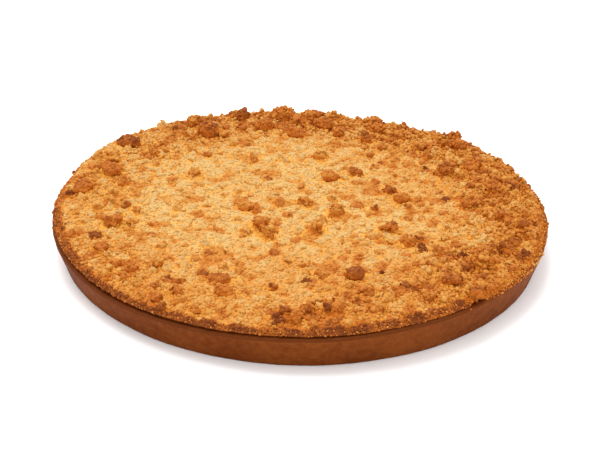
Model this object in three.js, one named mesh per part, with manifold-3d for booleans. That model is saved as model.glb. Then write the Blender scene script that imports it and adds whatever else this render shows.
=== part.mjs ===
// A round crumble tart: a shallow pastry crust with a flared wall, filled level with its rim
// and heaped with a baked crumble topping, on which the largest browned lumps lie.
// Millimetres, +Z up. The origin is on the tart's axis, on the flat underside.
import * as THREE from "three";
import { mergeVertices } from "three/addons/utils/BufferGeometryUtils.js";
import Module from "manifold-3d";

const wasm = await Module();
wasm.setup();
const { Manifold, Mesh } = wasm;

// ---- Driving dimensions of the crust
const RIM_RADIUS = 140; // outside of the rim
const BASE_RADIUS = 134.4; // outside of the foot, where the flared wall starts
const RIM_HEIGHT = 19.2; // the rim's mean height
const WALL = 4.6; // thickness of the wall
const FLOOR = 5; // thickness of the base
const CROWN = 1; // how far the rim's rounded crown rises over the wall
const FOOT_ROUND = 1.2; // radius of the rounded foot, inside and out
const FIT_GAP = 0.35; // kept between two pieces that lie against each other

// ---- Driving dimensions of the topping
const EDGE_RISE = 0.7; // the topping's edge over the rim
const DOME_RISE = 2.4; // the level top over that edge
const DOME_SLOPE = 20; // width of the slope from the edge to the level top
const BUMP = 1.6; // how far the topping's own bumps and hollows go up and down
const BUMP_PITCH = 6.1; // from a bump to a hollow beside it
const BUMP_JOSTLE = 0.5; // how far each is off its place, as a share of the pitch

// ---- Where the topping is heaped or has sunk along the rim: middle is the angle from +X and
// reach the angle to each side of it, in degrees, and rise the height over the slope there.
const BANKS = [
  { middle: 157, reach: 26, rise: 2.6 },
  { middle: 75, reach: 32, rise: -0.8 },
  { middle: 30, reach: 30, rise: 2.6 },
];

// ---- The largest lumps, each a piece of its own.
// across and back are its place in plan, width, length and height its size in millimetres,
// and turn the angle of its width from +X in degrees.
const LUMPS = [
  { across: -105, back: 64.5, width: 15, length: 10.5, height: 9, turn: -12 },
  { across: -58.5, back: 89, width: 14, length: 13, height: 12, turn: 10 },
  { across: -13.5, back: 123.5, width: 15, length: 11.5, height: 11, turn: 0 },
  { across: -23, back: 103.5, width: 12.5, length: 10, height: 8.5, turn: 25 },
  { across: -6, back: 98, width: 14.5, length: 8.5, height: 7.5, turn: -14 },
  { across: 13.5, back: 114, width: 13, length: 10, height: 9, turn: 12 },
  { across: 44.5, back: 121, width: 12, length: 9, height: 8, turn: -10 },
  { across: 48, back: 107.5, width: 16.5, length: 8.5, height: 7, turn: -24 },
  { across: 97, back: 76, width: 10, length: 8.5, height: 7.5, turn: -30 },
  { across: -111.5, back: 28.5, width: 16, length: 10, height: 7, turn: -52 },
  { across: -125, back: 8.5, width: 14, length: 11, height: 7, turn: 60 },
  { across: 16.5, back: 34, width: 11, length: 9, height: 7.5, turn: 8 },
  { across: 58, back: 7.5, width: 10.5, length: 8.5, height: 6.5, turn: 15 },
  { across: -30.5, back: -5, width: 10.5, length: 7, height: 5.5, turn: 5 },
  { across: 29.5, back: -82.5, width: 10.5, length: 9.5, height: 8, turn: 0 },
  { across: 78.5, back: -88.5, width: 11.5, length: 8.5, height: 7, turn: -32 },
  { across: -41.5, back: -88, width: 12.5, length: 7.5, height: 6, turn: 10 },
  { across: -37.5, back: -100.5, width: 11, length: 8, height: 6.5, turn: -6 },
];
const LUMP_SUNK = 0.28; // share of a lump's height that lies in the topping

// ---- The smaller lumps that show singly, fused to the topping: [across, back, width]
const CLUSTERS = [
  [-68.5, 103, 7.2], [-61.5, 108, 6.8], [4, 129, 8], [20, 126.5, 8], [84.5, 89.5, 5.6],
  [-104, -29, 7], [-93.5, -29, 5.8], [-89.5, 55, 5.8], [-63, 32.5, 6.4], [12, 63.5, 7],
  [32.5, 39.5, 6.4], [51, 17, 7], [85, 43, 9], [77.5, 64.5, 6.4], [98, -0.5, 8.8],
  [124, 19.5, 5.6], [111.5, 17.5, 7.4], [2.5, 0, 7], [20, -13, 7], [-21.5, -26.5, 7.4],
  [-17, -37.5, 8.8], [8.5, -32.5, 6.2], [49, -29.5, 7.2], [64, -45, 5], [65, -54.5, 6],
  [59, -48.5, 8], [99, -58, 6.8], [95.5, -71.5, 8.4], [123, -37, 7.4], [-62.5, -101, 6.8],
  [4, -117.5, 7], [17.5, -117, 7.8], [-1.5, -125.5, 6.2], [-76.5, -73, 5.6], [90, -100.5, 8.2],
];
const CLUSTER_SUNK = 0.3; // share of its height that lies in the topping

// ---- The loose crumbs between them, by rule; the finer ones are the surface's bumps
const CRUMB_COUNT = 20;
const CRUMB_WIDTH = [3.8, 5.6]; // smallest and largest
const CRUMB_SUNK = 0.3; // share of a crumb's height that lies in the topping
const CRUMB_FIELD = 135.5; // radius of the field they lie in
const CLEAR_OF_LUMP = 0.62; // share of a lump's width in which no crumb's middle lies

const SIDES = 64; // facets round the tart
const GOLDEN_ANGLE = Math.PI * (3 - Math.sqrt(5));

// ---- Places worked out from these
const SHOULDER = RIM_HEIGHT - CROWN; // where the rim's crown starts
const CROWN_MIDDLE = RIM_RADIUS - WALL / 2;
const INNER_FOOT = BASE_RADIUS - WALL + 1; // the cavity's radius at its floor

const clamp01 = (value) => Math.min(1, Math.max(0, value));
const smooth = (value) => value * value * (3 - 2 * value);
const degrees = (value) => (value * Math.PI) / 180;

// A repeatable draw from 0 to 1: item says which thing it is for, and use which of its values.
function draw(item, use) {
  const mixed = Math.sin(item * 127.1 + use * 311.7) * 43758.5453;
  return mixed - Math.floor(mixed);
}

// ---- Hand-made unevenness, by the angle round the tart

// The rim of the hand-pressed dough rises and falls by up to 3 mm.
function rimLift(angle) {
  return 1.84 * Math.sin(2 * angle + 2.63) + 0.7 * Math.sin(3 * angle)
    + 0.2 * Math.sin(7 * angle + 2.1) + 0.14 * Math.sin(13 * angle + 4);
}

// The wall stands a little in or out of a true circle.
function wallSwell(angle) {
  return 0.3 * Math.sin(2 * angle + 1) + 0.22 * Math.sin(5 * angle + 3.3)
    + 0.12 * Math.sin(11 * angle);
}

// How much a place at this radius follows the wall's swell, and how much the rim's lift.
const nearWall = (radius) => smooth(clamp01((radius - 110) / 16));
const nearRim = (radius) => smooth(clamp01(radius / 130));

// The height of the heaps and hollows along the rim, at a place in the slope.
function bankRise(radius, angle) {
  const across = smooth(clamp01((radius - 92) / 30)) * smooth(clamp01((140.5 - radius) / 7));
  return across * BANKS.reduce((total, { middle, reach, rise }) => {
    const turn = angle - degrees(middle);
    const away = Math.abs(Math.atan2(Math.sin(turn), Math.cos(turn))) / degrees(reach);
    return total + rise * smooth(clamp01(1.6 * (1 - away)));
  }, 0);
}

// The height of the topping's own surface at a place, before any crumb lies on it.
function toppingHeight(x, y) {
  const radius = Math.hypot(x, y);
  const angle = Math.atan2(y, x);
  const inward = clamp01((CROWN_MIDDLE - radius) / DOME_SLOPE);
  const dome = DOME_RISE * Math.sqrt(inward * (2 - inward));
  const swell = 0.55 * Math.sin(x / 19 + 1.3) * Math.cos(y / 23 - 0.4)
    + 0.35 * Math.sin(x / 11 + y / 13 + 2);
  return RIM_HEIGHT + EDGE_RISE + dome + bankRise(radius, angle)
    + swell * inward + rimLift(angle) * nearRim(radius);
}

// ---- Solids

// A closed three.js geometry as a solid that can be joined and cut.
function solidOf(geometry) {
  const bare = geometry.clone();
  bare.deleteAttribute("normal");
  bare.deleteAttribute("uv");
  const merged = mergeVertices(bare, 1e-4);
  return new Manifold(new Mesh({
    numProp: 3,
    vertProperties: merged.attributes.position.array,
    triVerts: new Uint32Array(merged.index.array),
  }));
}

// The solid back as a three.js geometry, with a facet for each triangle.
function geometryOf(solid) {
  const { vertProperties, triVerts } = solid.getMesh();
  const geometry = new THREE.BufferGeometry();
  geometry.setAttribute("position", new THREE.BufferAttribute(vertProperties, 3));
  geometry.setIndex(new THREE.BufferAttribute(triVerts, 1));
  const faceted = geometry.toNonIndexed();
  faceted.computeVertexNormals();
  return faceted;
}

// The largest body of a solid: loose scraps and sealed hollows drop out.
function largestBody(solid) {
  return solid.decompose().reduce((a, b) => (b.volume() > a.volume() ? b : a));
}

// Moves each vertex of a geometry by a function of its place.
function reshape(geometry, move) {
  const places = geometry.attributes.position;
  const place = new THREE.Vector3();
  for (let i = 0; i < places.count; i++) {
    move(place.fromBufferAttribute(places, i));
    places.setXYZ(i, place.x, place.y, place.z);
  }
  return geometry;
}

// A round body from a profile of [radius, height] points, its axis along +Z.
function turned(profile) {
  const points = profile.map(([radius, height]) => new THREE.Vector2(radius, height));
  return new THREE.LatheGeometry(points, SIDES).rotateX(Math.PI / 2);
}

// Points on an ellipse round a centre, from one angle in degrees to another.
function arc([middle, level], [radius, rise], from, to, steps) {
  return Array.from({ length: steps + 1 }, (_, i) => {
    const angle = degrees(from + ((to - from) * i) / steps);
    return [middle + radius * Math.cos(angle), level + rise * Math.sin(angle)];
  });
}

// Gives a turned body the wall's swell and the rim's lift.
function unevenWall(geometry) {
  return reshape(geometry, (place) => {
    const radius = Math.hypot(place.x, place.y);
    const angle = Math.atan2(place.y, place.x);
    const swollen = radius > 0 ? 1 + (wallSwell(angle) * nearWall(radius)) / radius : 1;
    place.x *= swollen;
    place.y *= swollen;
    place.z += rimLift(angle) * nearRim(radius) * smooth(clamp01(place.z / RIM_HEIGHT));
  });
}

// ---- The crust

// The rim's crown in section, grown by a margin, from one angle to another.
function crownArc(margin, from, to, steps) {
  return arc([CROWN_MIDDLE, SHOULDER], [WALL / 2 + margin, CROWN + margin], from, to, steps);
}

// The hollow's lower corner in section, less a margin.
function hollowArc(margin) {
  const round = FOOT_ROUND - margin;
  return arc([INNER_FOOT - FOOT_ROUND, FLOOR + FOOT_ROUND], [round, round], -10, -90, 2);
}

// The crust: up the flared wall, over the crown and down the inside.
// With a margin it is grown all round, and so clears a space for the crust.
function crustGeometry(margin) {
  const foot = FOOT_ROUND + margin;
  return unevenWall(turned([
    [0, -margin],
    ...arc([BASE_RADIUS - FOOT_ROUND, FOOT_ROUND], [foot, foot], -90, -15, 3),
    ...crownArc(margin, 0, 180, 5),
    ...hollowArc(margin),
    [0, FLOOR + margin],
  ]));
}

// ---- The crumble

// Balls from coarse to fine, with the width up to which a crumb or lump is made from each.
const BALLS = [
  { upTo: 5.8, ball: new THREE.IcosahedronGeometry(0.5, 0) }, // 20 facets
  { upTo: 8.1, ball: new THREE.DodecahedronGeometry(0.5, 0) }, // 36 facets
  { upTo: 14.2, ball: new THREE.IcosahedronGeometry(0.5, 1) }, // 80 facets
  { upTo: Infinity, ball: new THREE.IcosahedronGeometry(0.5, 2) }, // 180 facets
];

// A crumb or lump: a ball with uneven corners, sized, turned and set down in place.
function crumb(item, { across, back, width, length, height, turn, sunk }, margin = 0) {
  const { ball } = BALLS.find(({ upTo }) => width <= upTo);
  const lie = new THREE.Matrix4()
    .makeRotationZ(degrees(turn))
    .scale(new THREE.Vector3(width + 2 * margin, length + 2 * margin, height + 2 * margin));
  const middle = toppingHeight(across, back) + height * (0.5 - sunk);
  const uneven = reshape(ball.clone(), (place) => {
    const corner = Math.round((place.x * 7 + place.y * 13 + place.z * 29) * 100);
    place.multiplyScalar(1 + 0.26 * (draw(corner, item) - 0.62));
  });
  return solidOf(uneven.applyMatrix4(lie).translate(across, back, middle));
}

// A largest lump as a solid, or with a margin all round.
function lumpSolid(lump, index, margin) {
  return crumb(index + 1, { ...lump, sunk: LUMP_SUNK }, margin);
}

// Whether a place is free of the largest lumps, which lie in the topping by themselves.
function clearOfLumps(across, back) {
  return LUMPS.every((lump) =>
    Math.hypot(across - lump.across, back - lump.back) > lump.width * CLEAR_OF_LUMP);
}

// The smaller lumps at their places.
function clusters() {
  return CLUSTERS.map(([across, back, width], index) => crumb(200 + index, {
    across,
    back,
    width,
    length: width * (0.8 + 0.25 * draw(index, 1)),
    height: width * (0.66 + 0.2 * draw(index, 2)),
    turn: 180 * draw(index, 3),
    sunk: CLUSTER_SUNK,
  }));
}

// The crumbs between them, spread evenly by the golden angle and then jostled.
function crumbs() {
  const made = [];
  for (let i = 0; i < CRUMB_COUNT; i++) {
    const radius = CRUMB_FIELD * Math.sqrt((i + 0.2 + 0.6 * draw(i, 11)) / CRUMB_COUNT);
    const angle = i * GOLDEN_ANGLE + (3 * (draw(i, 12) - 0.5)) / Math.max(radius, 6);
    const across = radius * Math.cos(angle);
    const back = radius * Math.sin(angle);
    if (!clearOfLumps(across, back)) continue;
    const width = CRUMB_WIDTH[0] + (CRUMB_WIDTH[1] - CRUMB_WIDTH[0]) * draw(i, 13);
    made.push(crumb(400 + i, {
      across,
      back,
      width,
      length: width * (0.75 + 0.25 * draw(i, 14)),
      height: width * (0.75 + 0.25 * draw(i, 15)),
      turn: 180 * draw(i, 16),
      sunk: CRUMB_SUNK,
    }));
  }
  return made;
}

// The space the topping fills: the crust's hollow and half its rim, with the fit gap, and up.
function toppingSpace() {
  const top = RIM_HEIGHT * 2;
  return unevenWall(turned([
    [0, FLOOR + FIT_GAP],
    ...hollowArc(FIT_GAP).reverse(),
    ...crownArc(FIT_GAP, 180, 90, 3),
    [CROWN_MIDDLE, top],
    [0, top],
  ]));
}

// A block whose top is the topping's bumpy surface. Each third point of its grid is a bump,
// with hollows all round it, and all are jostled off their places. It reaches past the rim.
function bumpyBlock() {
  const cells = Math.ceil((2 * RIM_RADIUS + 4 * BUMP_PITCH) / BUMP_PITCH);
  const side = cells * BUMP_PITCH;
  const block = new THREE.BoxGeometry(side, side, RIM_HEIGHT, cells, cells, 1);
  return reshape(block, (place) => {
    if (place.z < 0) return;
    const column = Math.round(place.x / BUMP_PITCH + cells / 2);
    const row = Math.round(place.y / BUMP_PITCH + cells / 2);
    place.x += BUMP_JOSTLE * BUMP_PITCH * (draw(column, row) - 0.5);
    place.y += BUMP_JOSTLE * BUMP_PITCH * (draw(row + 70, column) - 0.5);
    const lift = (column + row) % 3 === 0 ? 1 : -0.8 * draw(column + 140, row);
    const inward = clamp01((CROWN_MIDDLE - Math.hypot(place.x, place.y)) / BUMP_PITCH);
    place.z = toppingHeight(place.x, place.y) + BUMP * lift * inward;
  });
}

// The topping without its lumps and loose crumbs.
function toppingCore() {
  return solidOf(toppingSpace()).intersect(solidOf(bumpyBlock()));
}

// The topping with its crumbs, clear of the crust's rim and of the largest lumps.
function crumbleGeometry() {
  const crust = solidOf(crustGeometry(FIT_GAP));
  const pieces = Manifold.union([...clusters(), ...crumbs()]).subtract(crust);
  const beds = LUMPS.map((lump, index) => lumpSolid(lump, index, FIT_GAP));
  const heap = toppingCore().add(pieces).subtract(Manifold.union(beds));
  return geometryOf(largestBody(heap));
}

// ---- Materials and the scene graph

const baked = (color, roughness) =>
  new THREE.MeshStandardMaterial({ color, roughness, metalness: 0 });
const CRUST_BROWN = baked("#9c5a2e", 0.7);
const CRUMBLE_GOLD = baked("#e6b064", 0.9);
const LUMP_BROWN = baked("#b9743a", 0.85);

const tart = new THREE.Group();

function add(name, geometry, material) {
  const mesh = new THREE.Mesh(geometry, material);
  mesh.name = name;
  tart.add(mesh);
}

add("crust", crustGeometry(0), CRUST_BROWN);
add("crumble", crumbleGeometry(), CRUMBLE_GOLD);
const rimClearance = solidOf(crustGeometry(FIT_GAP));
LUMPS.forEach((lump, index) => {
  const clearOfRim = lumpSolid(lump, index, 0).subtract(rimClearance);
  const name = `lump_${String(index + 1).padStart(2, "0")}`;
  add(name, geometryOf(largestBody(clearOfRim)), LUMP_BROWN);
});

export default tart;
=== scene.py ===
"""A baked crumble tart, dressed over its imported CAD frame.

The frame gives the crust, the topping and the largest lumps at their real size and place.
Each is covered here by a finer piece of the same form: a pressed pastry crust, a grainy
bed of crumble with loose crumbs and clumps strewn on it, and craggy browned lumps.
"""

import math

import bpy
import numpy as np
from bpy.props import (
    FloatProperty,
    FloatVectorProperty,
    IntProperty,
    PointerProperty,
)
from bpy.types import Operator, Panel, PropertyGroup
from mathutils import Matrix, Vector
from mathutils.bvhtree import BVHTree


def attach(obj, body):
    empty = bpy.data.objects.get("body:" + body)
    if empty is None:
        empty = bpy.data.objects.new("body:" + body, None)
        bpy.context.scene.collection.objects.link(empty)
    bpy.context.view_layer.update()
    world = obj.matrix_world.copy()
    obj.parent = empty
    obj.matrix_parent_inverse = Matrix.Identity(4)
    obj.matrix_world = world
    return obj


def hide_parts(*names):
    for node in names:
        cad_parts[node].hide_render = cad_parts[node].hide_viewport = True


bl_info = {
    "name": "Crumble Tart",
    "version": (1, 0, 0),
    "blender": (4, 5, 0),
    "location": "View3D > Sidebar > Tart",
    "description": "Dresses a crumble tart over its CAD frame",
    "category": "Add Mesh",
}

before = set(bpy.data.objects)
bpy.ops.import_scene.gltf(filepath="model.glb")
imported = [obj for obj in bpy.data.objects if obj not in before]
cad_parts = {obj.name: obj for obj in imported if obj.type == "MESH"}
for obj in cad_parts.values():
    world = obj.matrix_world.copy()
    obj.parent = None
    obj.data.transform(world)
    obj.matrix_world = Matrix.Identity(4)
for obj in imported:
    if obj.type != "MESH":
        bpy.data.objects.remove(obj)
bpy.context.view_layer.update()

MM = 0.001
BODY = "root"  # the one body of a part without joints

# The crust's section, as in the part's source, in millimetres
BASE_RADIUS = 134.4
RIM_HEIGHT = 19.2
WALL = 4.6
FLOOR = 5.0
CROWN = 1.0
FOOT_ROUND = 1.2
SHOULDER = RIM_HEIGHT - CROWN
RIM_RADIUS = 140.0
CROWN_MIDDLE = RIM_RADIUS - WALL / 2
BED_EDGE = 138.4  # radius at which the crumble ends, on the outer side of the rim's crown

# How high a point lies among its crumbs, in millimetres against the mean of their tops, which
# places the painted bounce light and shade in the pits
HEAP_CELL = 0.8  # width of the cells in which the tops are found
HEAP_REACH = RIM_RADIUS + 3  # half the width of the square that the cells fill
HEAP_BLUR = 10  # times that their heights are evened out
DEEPEST = -1.9  # taken as the bottom of a pit
HIGHEST = 0.0  # taken as a top

LUMP_NODES = sorted(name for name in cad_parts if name.startswith("lump_"))

# How browned each of the largest lumps is, from 0, pale, to 1, scorched, in the nodes' order
LUMP_BROWNING = (
    0.90, 0.86, 0.64, 0.74, 0.76, 0.75, 0.56, 0.70, 0.72,
    0.72, 0.74, 0.60, 0.58, 0.50, 0.90, 0.84, 0.78, 0.70,
)

# The smaller lumps that show singly, as in the part's source, in millimetres, with how
# browned each is: (across, back, width, browning)
CLUMPS = (
    (-68.5, 103, 7.2, 0.50), (-61.5, 108, 6.8, 0.58), (4, 129, 8, 0.52),
    (20, 126.5, 8, 0.50), (84.5, 89.5, 5.6, 0.48), (-104, -29, 7, 0.72),
    (-93.5, -29, 5.8, 0.48), (-89.5, 55, 5.8, 0.60), (-63, 32.5, 6.4, 0.48),
    (12, 63.5, 7, 0.44), (32.5, 39.5, 6.4, 0.82), (51, 17, 7, 0.82),
    (85, 43, 9, 0.84), (77.5, 64.5, 6.4, 0.70), (98, -0.5, 8.8, 0.60),
    (124, 19.5, 5.6, 0.84), (111.5, 17.5, 7.4, 0.74), (2.5, 0, 7, 0.50),
    (20, -13, 7, 0.52), (-21.5, -26.5, 7.4, 0.62), (-17, -37.5, 8.8, 0.54),
    (8.5, -32.5, 6.2, 0.50), (49, -29.5, 7.2, 0.76), (64, -45, 5, 0.86),
    (65, -54.5, 6, 0.98), (59, -48.5, 8, 0.68), (99, -58, 6.8, 0.66),
    (95.5, -71.5, 8.4, 0.54), (123, -37, 7.4, 0.62), (-62.5, -101, 6.8, 0.70),
    (4, -117.5, 7, 0.68), (17.5, -117, 7.8, 0.60), (-1.5, -125.5, 6.2, 0.66),
    (-76.5, -73, 5.6, 0.52), (90, -100.5, 8.2, 0.84),
)

# Dark crumbs that stick out over the rim, seen against the light: azimuth in degrees, width
# in millimetres, and browning
RIM_CLUMPS = (
    (165, 3.4, 0.95), (163, 2.8, 0.9), (160.5, 3.2, 0.8), (-175, 3.6, 0.95), (-171, 2.8, 0.8),
    (-168, 3.4, 0.95), (-164.5, 3.2, 0.9), (16.5, 2.8, 0.95), (14, 3.0, 0.9), (6, 2.6, 0.9),
    (2, 3.2, 0.8), (29, 3.2, 0.75), (-7, 2.8, 0.7), (40, 3.4, 0.7),
)

# Broad patches that baked darker or paler than what is round them, in millimetres, with how
# much more browned each is at its middle: (across, back, width, browning)
PATCHES = (
    (26, -98, 30, 0.24), (-50, -24, 26, 0.20), (-8, -74, 40, 0.14), (30, -50, 34, 0.12),
    (-52, 100, 50, 0.12), (50, 72, 30, 0.12), (28, 22, 24, 0.14), (74, -98, 26, 0.14),
    (8, 38, 46, -0.16), (-62, 26, 60, -0.12), (96, -44, 30, -0.16), (76, 2, 28, -0.12),
    (-98, -72, 26, -0.16), (-96, -26, 24, -0.12),
)


def clamp01(value):
    return np.clip(value, 0.0, 1.0)


def smooth(value):
    return value * value * (3 - 2 * value)


# ---- Sizes and colours that a user would change


def colour_setting(name, description, default):
    return FloatVectorProperty(
        name=name, description=description, subtype="COLOR", size=3, min=0, max=1, default=default
    )


def length_setting(name, description, default):
    return FloatProperty(name=name, description=description, subtype="DISTANCE", default=default)


def number_setting(name, description, default):
    return FloatProperty(name=name, description=description, default=default)


class CrustSettings(PropertyGroup):
    brown: colour_setting("Brown", "The baked wall, in its darker places", (0.122, 0.024, 0.002))
    light: colour_setting("Light", "The baked wall, in its lighter places", (0.195, 0.048, 0.007))
    # The lip's scorched colour, which also darkens the wall towards its foot
    scorched: colour_setting("Scorched", "The wall's upper and lower edges", (0.10, 0.023, 0.004))
    dent: length_setting("Dent", "How far the pressed dough goes in and out", 0.8 * MM)
    grain: length_setting("Grain", "How far the skin's fine grain goes in and out", 0.12 * MM)


class CrumbleSettings(PropertyGroup):
    pale: colour_setting("Pale", "Crumble that has hardly browned", (0.56, 0.358, 0.134))
    golden: colour_setting("Golden", "Crumble baked golden", (0.54, 0.232, 0.042))
    toasted: colour_setting("Toasted", "Crumble baked brown", (0.43, 0.128, 0.020))
    scorched: colour_setting("Scorched", "The darkest crumble", (0.18, 0.042, 0.007))
    # Painted light: warm colours put deep between the crumbs and on their undersides, in place of
    # the light that bounces and scatters there
    painted_pit_light: colour_setting("Painted_Pit_Light", "The colour deep between pale crumbs", (0.74, 0.355, 0.055))
    painted_browned_pit_light: colour_setting("Painted_Browned_Pit_Light", "The colour deep between browned crumbs", (0.48, 0.132, 0.011))
    relief: length_setting("Relief", "Height of the crumbs baked into the bed", 1.15 * MM)
    grain_size: length_setting("Grain Size", "Width of the crumbs baked into the bed", 2.8 * MM)
    seed: IntProperty(name="Seed", description="Changes where the loose crumbs fall", default=7)


class StageSettings(PropertyGroup):
    floor: colour_setting("Floor", "The floor's colour", (0.97, 0.97, 0.97))
    fill: number_setting("Fill", "Strength of the even light from all round", 1.36)
    key: number_setting("Key", "Strength of the soft light from above", 1.5)
    lens: number_setting("Lens", "The camera's focal length, in millimetres", 90.0)


# ---- Building node trees


def new_node(tree, kind, inputs=None, **settings):
    """A new node. inputs maps a socket's name or number to a value or another socket."""
    node = tree.nodes.new(kind)
    for name, value in settings.items():
        setattr(node, name, value)
    for key, value in (inputs or {}).items():
        socket = node.inputs[key]
        if isinstance(value, bpy.types.NodeSocket):
            tree.links.new(value, socket)
        else:
            socket.default_value = value
    return node


def add(tree, kind, inputs=None, output=0, **settings):
    """One output of a new node."""
    return new_node(tree, kind, inputs, **settings).outputs[output]


def maths(tree, operation, *values):
    inputs = dict(enumerate(values))
    return add(tree, "ShaderNodeMath", inputs, operation=operation)


def times(tree, *factors):
    product = factors[0]
    for factor in factors[1:]:
        product = maths(tree, "MULTIPLY", product, factor)
    return product


def centred(tree, value):
    """A number from 0 to 1, made to lie round 0."""
    return maths(tree, "SUBTRACT", value, 0.5)


def ranged(tree, value, low, high, to_low=0.0, to_high=1.0):
    """value, from the range low to high, onto another range, and held inside it."""
    inputs = {0: value, 1: low, 2: high, 3: to_low, 4: to_high}
    return add(tree, "ShaderNodeMapRange", inputs)


def mixed(tree, share, first, second):
    """A colour between two colours."""
    inputs = {0: share, 6: first, 7: second}
    return add(tree, "ShaderNodeMix", inputs, 2, data_type="RGBA")


def grown(tree, vector, factor):
    """A vector times a number."""
    inputs = {0: vector, "Scale": factor}
    return add(tree, "ShaderNodeVectorMath", inputs, operation="SCALE")


def summed(tree, first, second):
    return add(tree, "ShaderNodeVectorMath", {0: first, 1: second})


def new_tree(name, kind, inputs, outputs):
    """A node tree with named sockets, and its input and output nodes. inputs has
    (name, socket type, default), and outputs (name, socket type)."""
    tree = bpy.data.node_groups.new(name, kind)
    for socket_name, socket_type, default in inputs:
        socket = tree.interface.new_socket(socket_name, in_out="INPUT", socket_type=socket_type)
        if default is not None:
            socket.default_value = default
    for socket_name, socket_type in outputs:
        tree.interface.new_socket(socket_name, in_out="OUTPUT", socket_type=socket_type)
    entry = new_node(tree, "NodeGroupInput").outputs
    result = new_node(tree, "NodeGroupOutput").inputs
    return tree, entry, result


FLOAT = "NodeSocketFloat"
INTEGER = "NodeSocketInt"
COLOUR = "NodeSocketColor"
GEOMETRY = "NodeSocketGeometry"


def geometry_tree(name, *inputs):
    """A tree that makes one geometry of another and a material, and its input and output
    nodes."""
    around = (("Geometry", GEOMETRY, None), *inputs, ("Material", "NodeSocketMaterial", None))
    return new_tree(name, "GeometryNodeTree", around, [("Geometry", GEOMETRY)])


def stored(tree, geometry, name, value):
    """geometry with a number kept on each of its points."""
    inputs = {"Geometry": geometry, "Name": name, "Value": value}
    kind = "GeometryNodeStoreNamedAttribute"
    return add(tree, kind, inputs, data_type="FLOAT", domain="POINT")


def kept(tree, name):
    """A number that is kept on each point."""
    kind = "GeometryNodeInputNamedAttribute"
    return add(tree, kind, {"Name": name}, data_type="FLOAT")


def forget(tree, geometry, *names):
    for name in names:
        inputs = {"Geometry": geometry, "Name": name}
        geometry = add(tree, "GeometryNodeRemoveAttribute", inputs)
    return geometry


def random_number(tree, low, high, seed):
    inputs = {2: low, 3: high, "Seed": seed}
    return add(tree, "FunctionNodeRandomValue", inputs, 1, data_type="FLOAT")


def random_vector(tree, low, high, seed):
    inputs = {0: low, 1: high, "Seed": seed}
    return add(tree, "FunctionNodeRandomValue", inputs, data_type="FLOAT_VECTOR")


def later_seed(tree, seed, step):
    return maths(tree, "ADD", seed, float(step))


def noise(tree, vector, scale, detail, output=0):
    """Noise as one number, or as three where output is "Color"."""
    inputs = {"Vector": vector, "Scale": scale, "Detail": detail}
    return add(tree, "ShaderNodeTexNoise", inputs, output)


def cells(tree, vector, scale):
    """Round cells: the distance to the nearest cell's middle, in cell widths."""
    inputs = {"Vector": vector, "Scale": scale}
    return add(tree, "ShaderNodeTexVoronoi", inputs, "Distance", feature="F1")


def position(tree):
    return add(tree, "GeometryNodeInputPosition")


def moved(tree, geometry, offset):
    inputs = {"Geometry": geometry, "Offset": offset}
    return add(tree, "GeometryNodeSetPosition", inputs)


def raised(tree, geometry, amount):
    """geometry with each point moved along its normal."""
    normal = add(tree, "GeometryNodeInputNormal")
    return moved(tree, geometry, grown(tree, normal, amount))


def put_out(tree, geometry, entry, result):
    """Puts out the geometry shaded smooth, with its instances real and its material set."""
    real = add(tree, "GeometryNodeRealizeInstances", {0: geometry})
    smoothed = add(tree, "GeometryNodeSetShadeSmooth", {0: real})
    inputs = {"Geometry": smoothed, "Material": entry["Material"]}
    final = add(tree, "GeometryNodeSetMaterial", inputs)
    tree.links.new(final, result["Geometry"])


# What each tree that makes crumbs takes in, to shape them
SHAPE_INPUTS = (
    ("Facets", INTEGER, 1),
    ("Unevenness", FLOAT, 0.5),
    ("Grains", FLOAT, 0.0),
    ("Flatness", FLOAT, 0.7),
    ("Seed", INTEGER, 0),
)

# Steps from a tree's seed to the seed of each of its draws
WIDTH_DRAW = 1
BROWNING_DRAW = 2
STRETCH_DRAW = 31
LEAN_DRAW = 32


def crumb_shapes():
    """Turns points with a width and a browning into crumbs. Each is a flattened ball with
    uneven sides and grains on it."""
    bends_per_width = 2.2
    grains_per_width = 3.2
    tree, entry, result = geometry_tree("Crumb Shapes", *SHAPE_INPUTS)
    width = kept(tree, "width")
    inputs = {"Radius": 0.5, "Subdivisions": entry["Facets"]}
    ball = add(tree, "GeometryNodeMeshIcoSphere", inputs, "Mesh")
    seed = later_seed(tree, entry["Seed"], STRETCH_DRAW)
    stretch = random_vector(tree, (0.82,) * 3, (1.18,) * 3, seed)
    inputs = {0: 1.0, 1: 1.0, 2: entry["Flatness"]}
    flattened = add(tree, "ShaderNodeCombineXYZ", inputs)
    inputs = {0: stretch, 1: flattened}
    proportions = add(tree, "ShaderNodeVectorMath", inputs, operation="MULTIPLY")
    seed = later_seed(tree, entry["Seed"], LEAN_DRAW)
    lean = random_vector(tree, (-0.5, -0.5, 0.0), (0.5, 0.5, math.tau), seed)
    inputs = {
        "Points": entry["Geometry"],
        "Instance": ball,
        "Rotation": lean,
        "Scale": grown(tree, proportions, width),
    }
    placed = add(tree, "GeometryNodeInstanceOnPoints", inputs)
    real = add(tree, "GeometryNodeRealizeInstances", {0: placed})
    in_widths = grown(tree, position(tree), maths(tree, "DIVIDE", 1.0, width))
    bends = summed(tree, noise(tree, in_widths, bends_per_width, 2.0, "Color"), (-0.5,) * 3)
    bend = grown(tree, bends, times(tree, width, entry["Unevenness"]))
    uneven = moved(tree, real, bend)
    grain = maths(tree, "SUBTRACT", 0.45, cells(tree, in_widths, grains_per_width))
    grain_height = times(tree, width, entry["Grains"])
    grainy = raised(tree, uneven, times(tree, grain, grain_height))
    put_out(tree, forget(tree, grainy, "width", "share", "loose"), entry, result)
    return tree


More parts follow.
